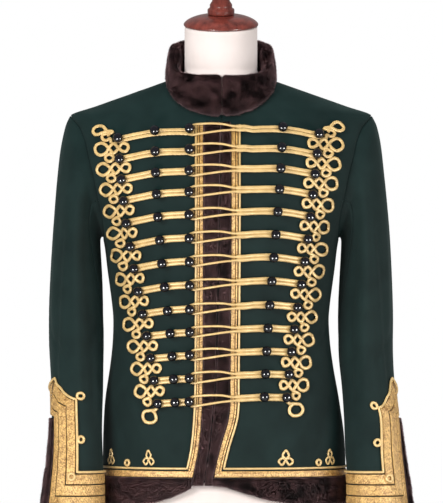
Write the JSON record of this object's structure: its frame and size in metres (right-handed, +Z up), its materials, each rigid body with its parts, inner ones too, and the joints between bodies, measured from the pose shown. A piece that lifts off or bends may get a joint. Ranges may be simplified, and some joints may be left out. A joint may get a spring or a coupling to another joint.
{
  "type": "hussar jacket on a limbless dress form",
  "caption": "Fur-edged hussar jacket with corded frogging and ball buttons, open at neck, hem and cuffs, on a limbless dress form with a wooden cap, pole and base.",
  "frame": {"origin": "centre of the base's flat underside", "axes": "+Z up; the jacket faces -Y; the wearer's left is +X"},
  "size_m": [0.5742, 0.3078, 0.9405],
  "materials": {
    "wool": "dark bottle green melton wool",
    "braid": "gold cord and lace, with near-black ball buttons on the frogging",
    "fur": "short dark brown plush fur",
    "jersey": "cream jersey stretched over the form",
    "wood": "dark red varnish"
  },
  "bodies": {
    "root": {"back_left": "wool", "back_right": "wool", "base": "wood", "collar": "fur", "cuff_braid_left": "braid", "cuff_braid_right": "braid", "cuff_fur_left": "fur", "cuff_fur_right": "fur", "edge_braid_left": "braid", "edge_braid_right": "braid", "finial": "wood", "form_torso": "jersey", "frog_left_01": "braid", "frog_left_02": "braid", "frog_left_03": "braid", "frog_left_04": "braid", "frog_left_05": "braid", "frog_left_06": "braid", "frog_left_07": "braid", "frog_left_08": "braid", "frog_left_09": "braid", "frog_left_10": "braid", "frog_left_11": "braid", "frog_left_12": "braid", "frog_left_13": "braid", "frog_right_01": "braid", "frog_right_02": "braid", "frog_right_03": "braid", "frog_right_04": "braid", "frog_right_05": "braid", "frog_right_06": "braid", "frog_right_07": "braid", "frog_right_08": "braid", "frog_right_09": "braid", "frog_right_10": "braid", "frog_right_11": "braid", "frog_right_12": "braid", "frog_right_13": "braid", "front_fur_left": "fur", "front_fur_right": "fur", "front_left": "wool", "front_right": "wool", "hem_braid_back": "braid", "hem_fur_back": "fur", "hem_fur_left": "fur", "hem_fur_right": "fur", "knots_left": "braid", "knots_right": "braid", "neck_cap": "wood", "pole": "wood", "sleeve_top_left": "wool", "sleeve_top_right": "wool", "sleeve_under_left": "wool", "sleeve_under_right": "wool", "trefoil_left_inner": "braid", "trefoil_left_outer": "braid", "trefoil_right_inner": "braid", "trefoil_right_outer": "braid"}
  },
  "joints": []
}
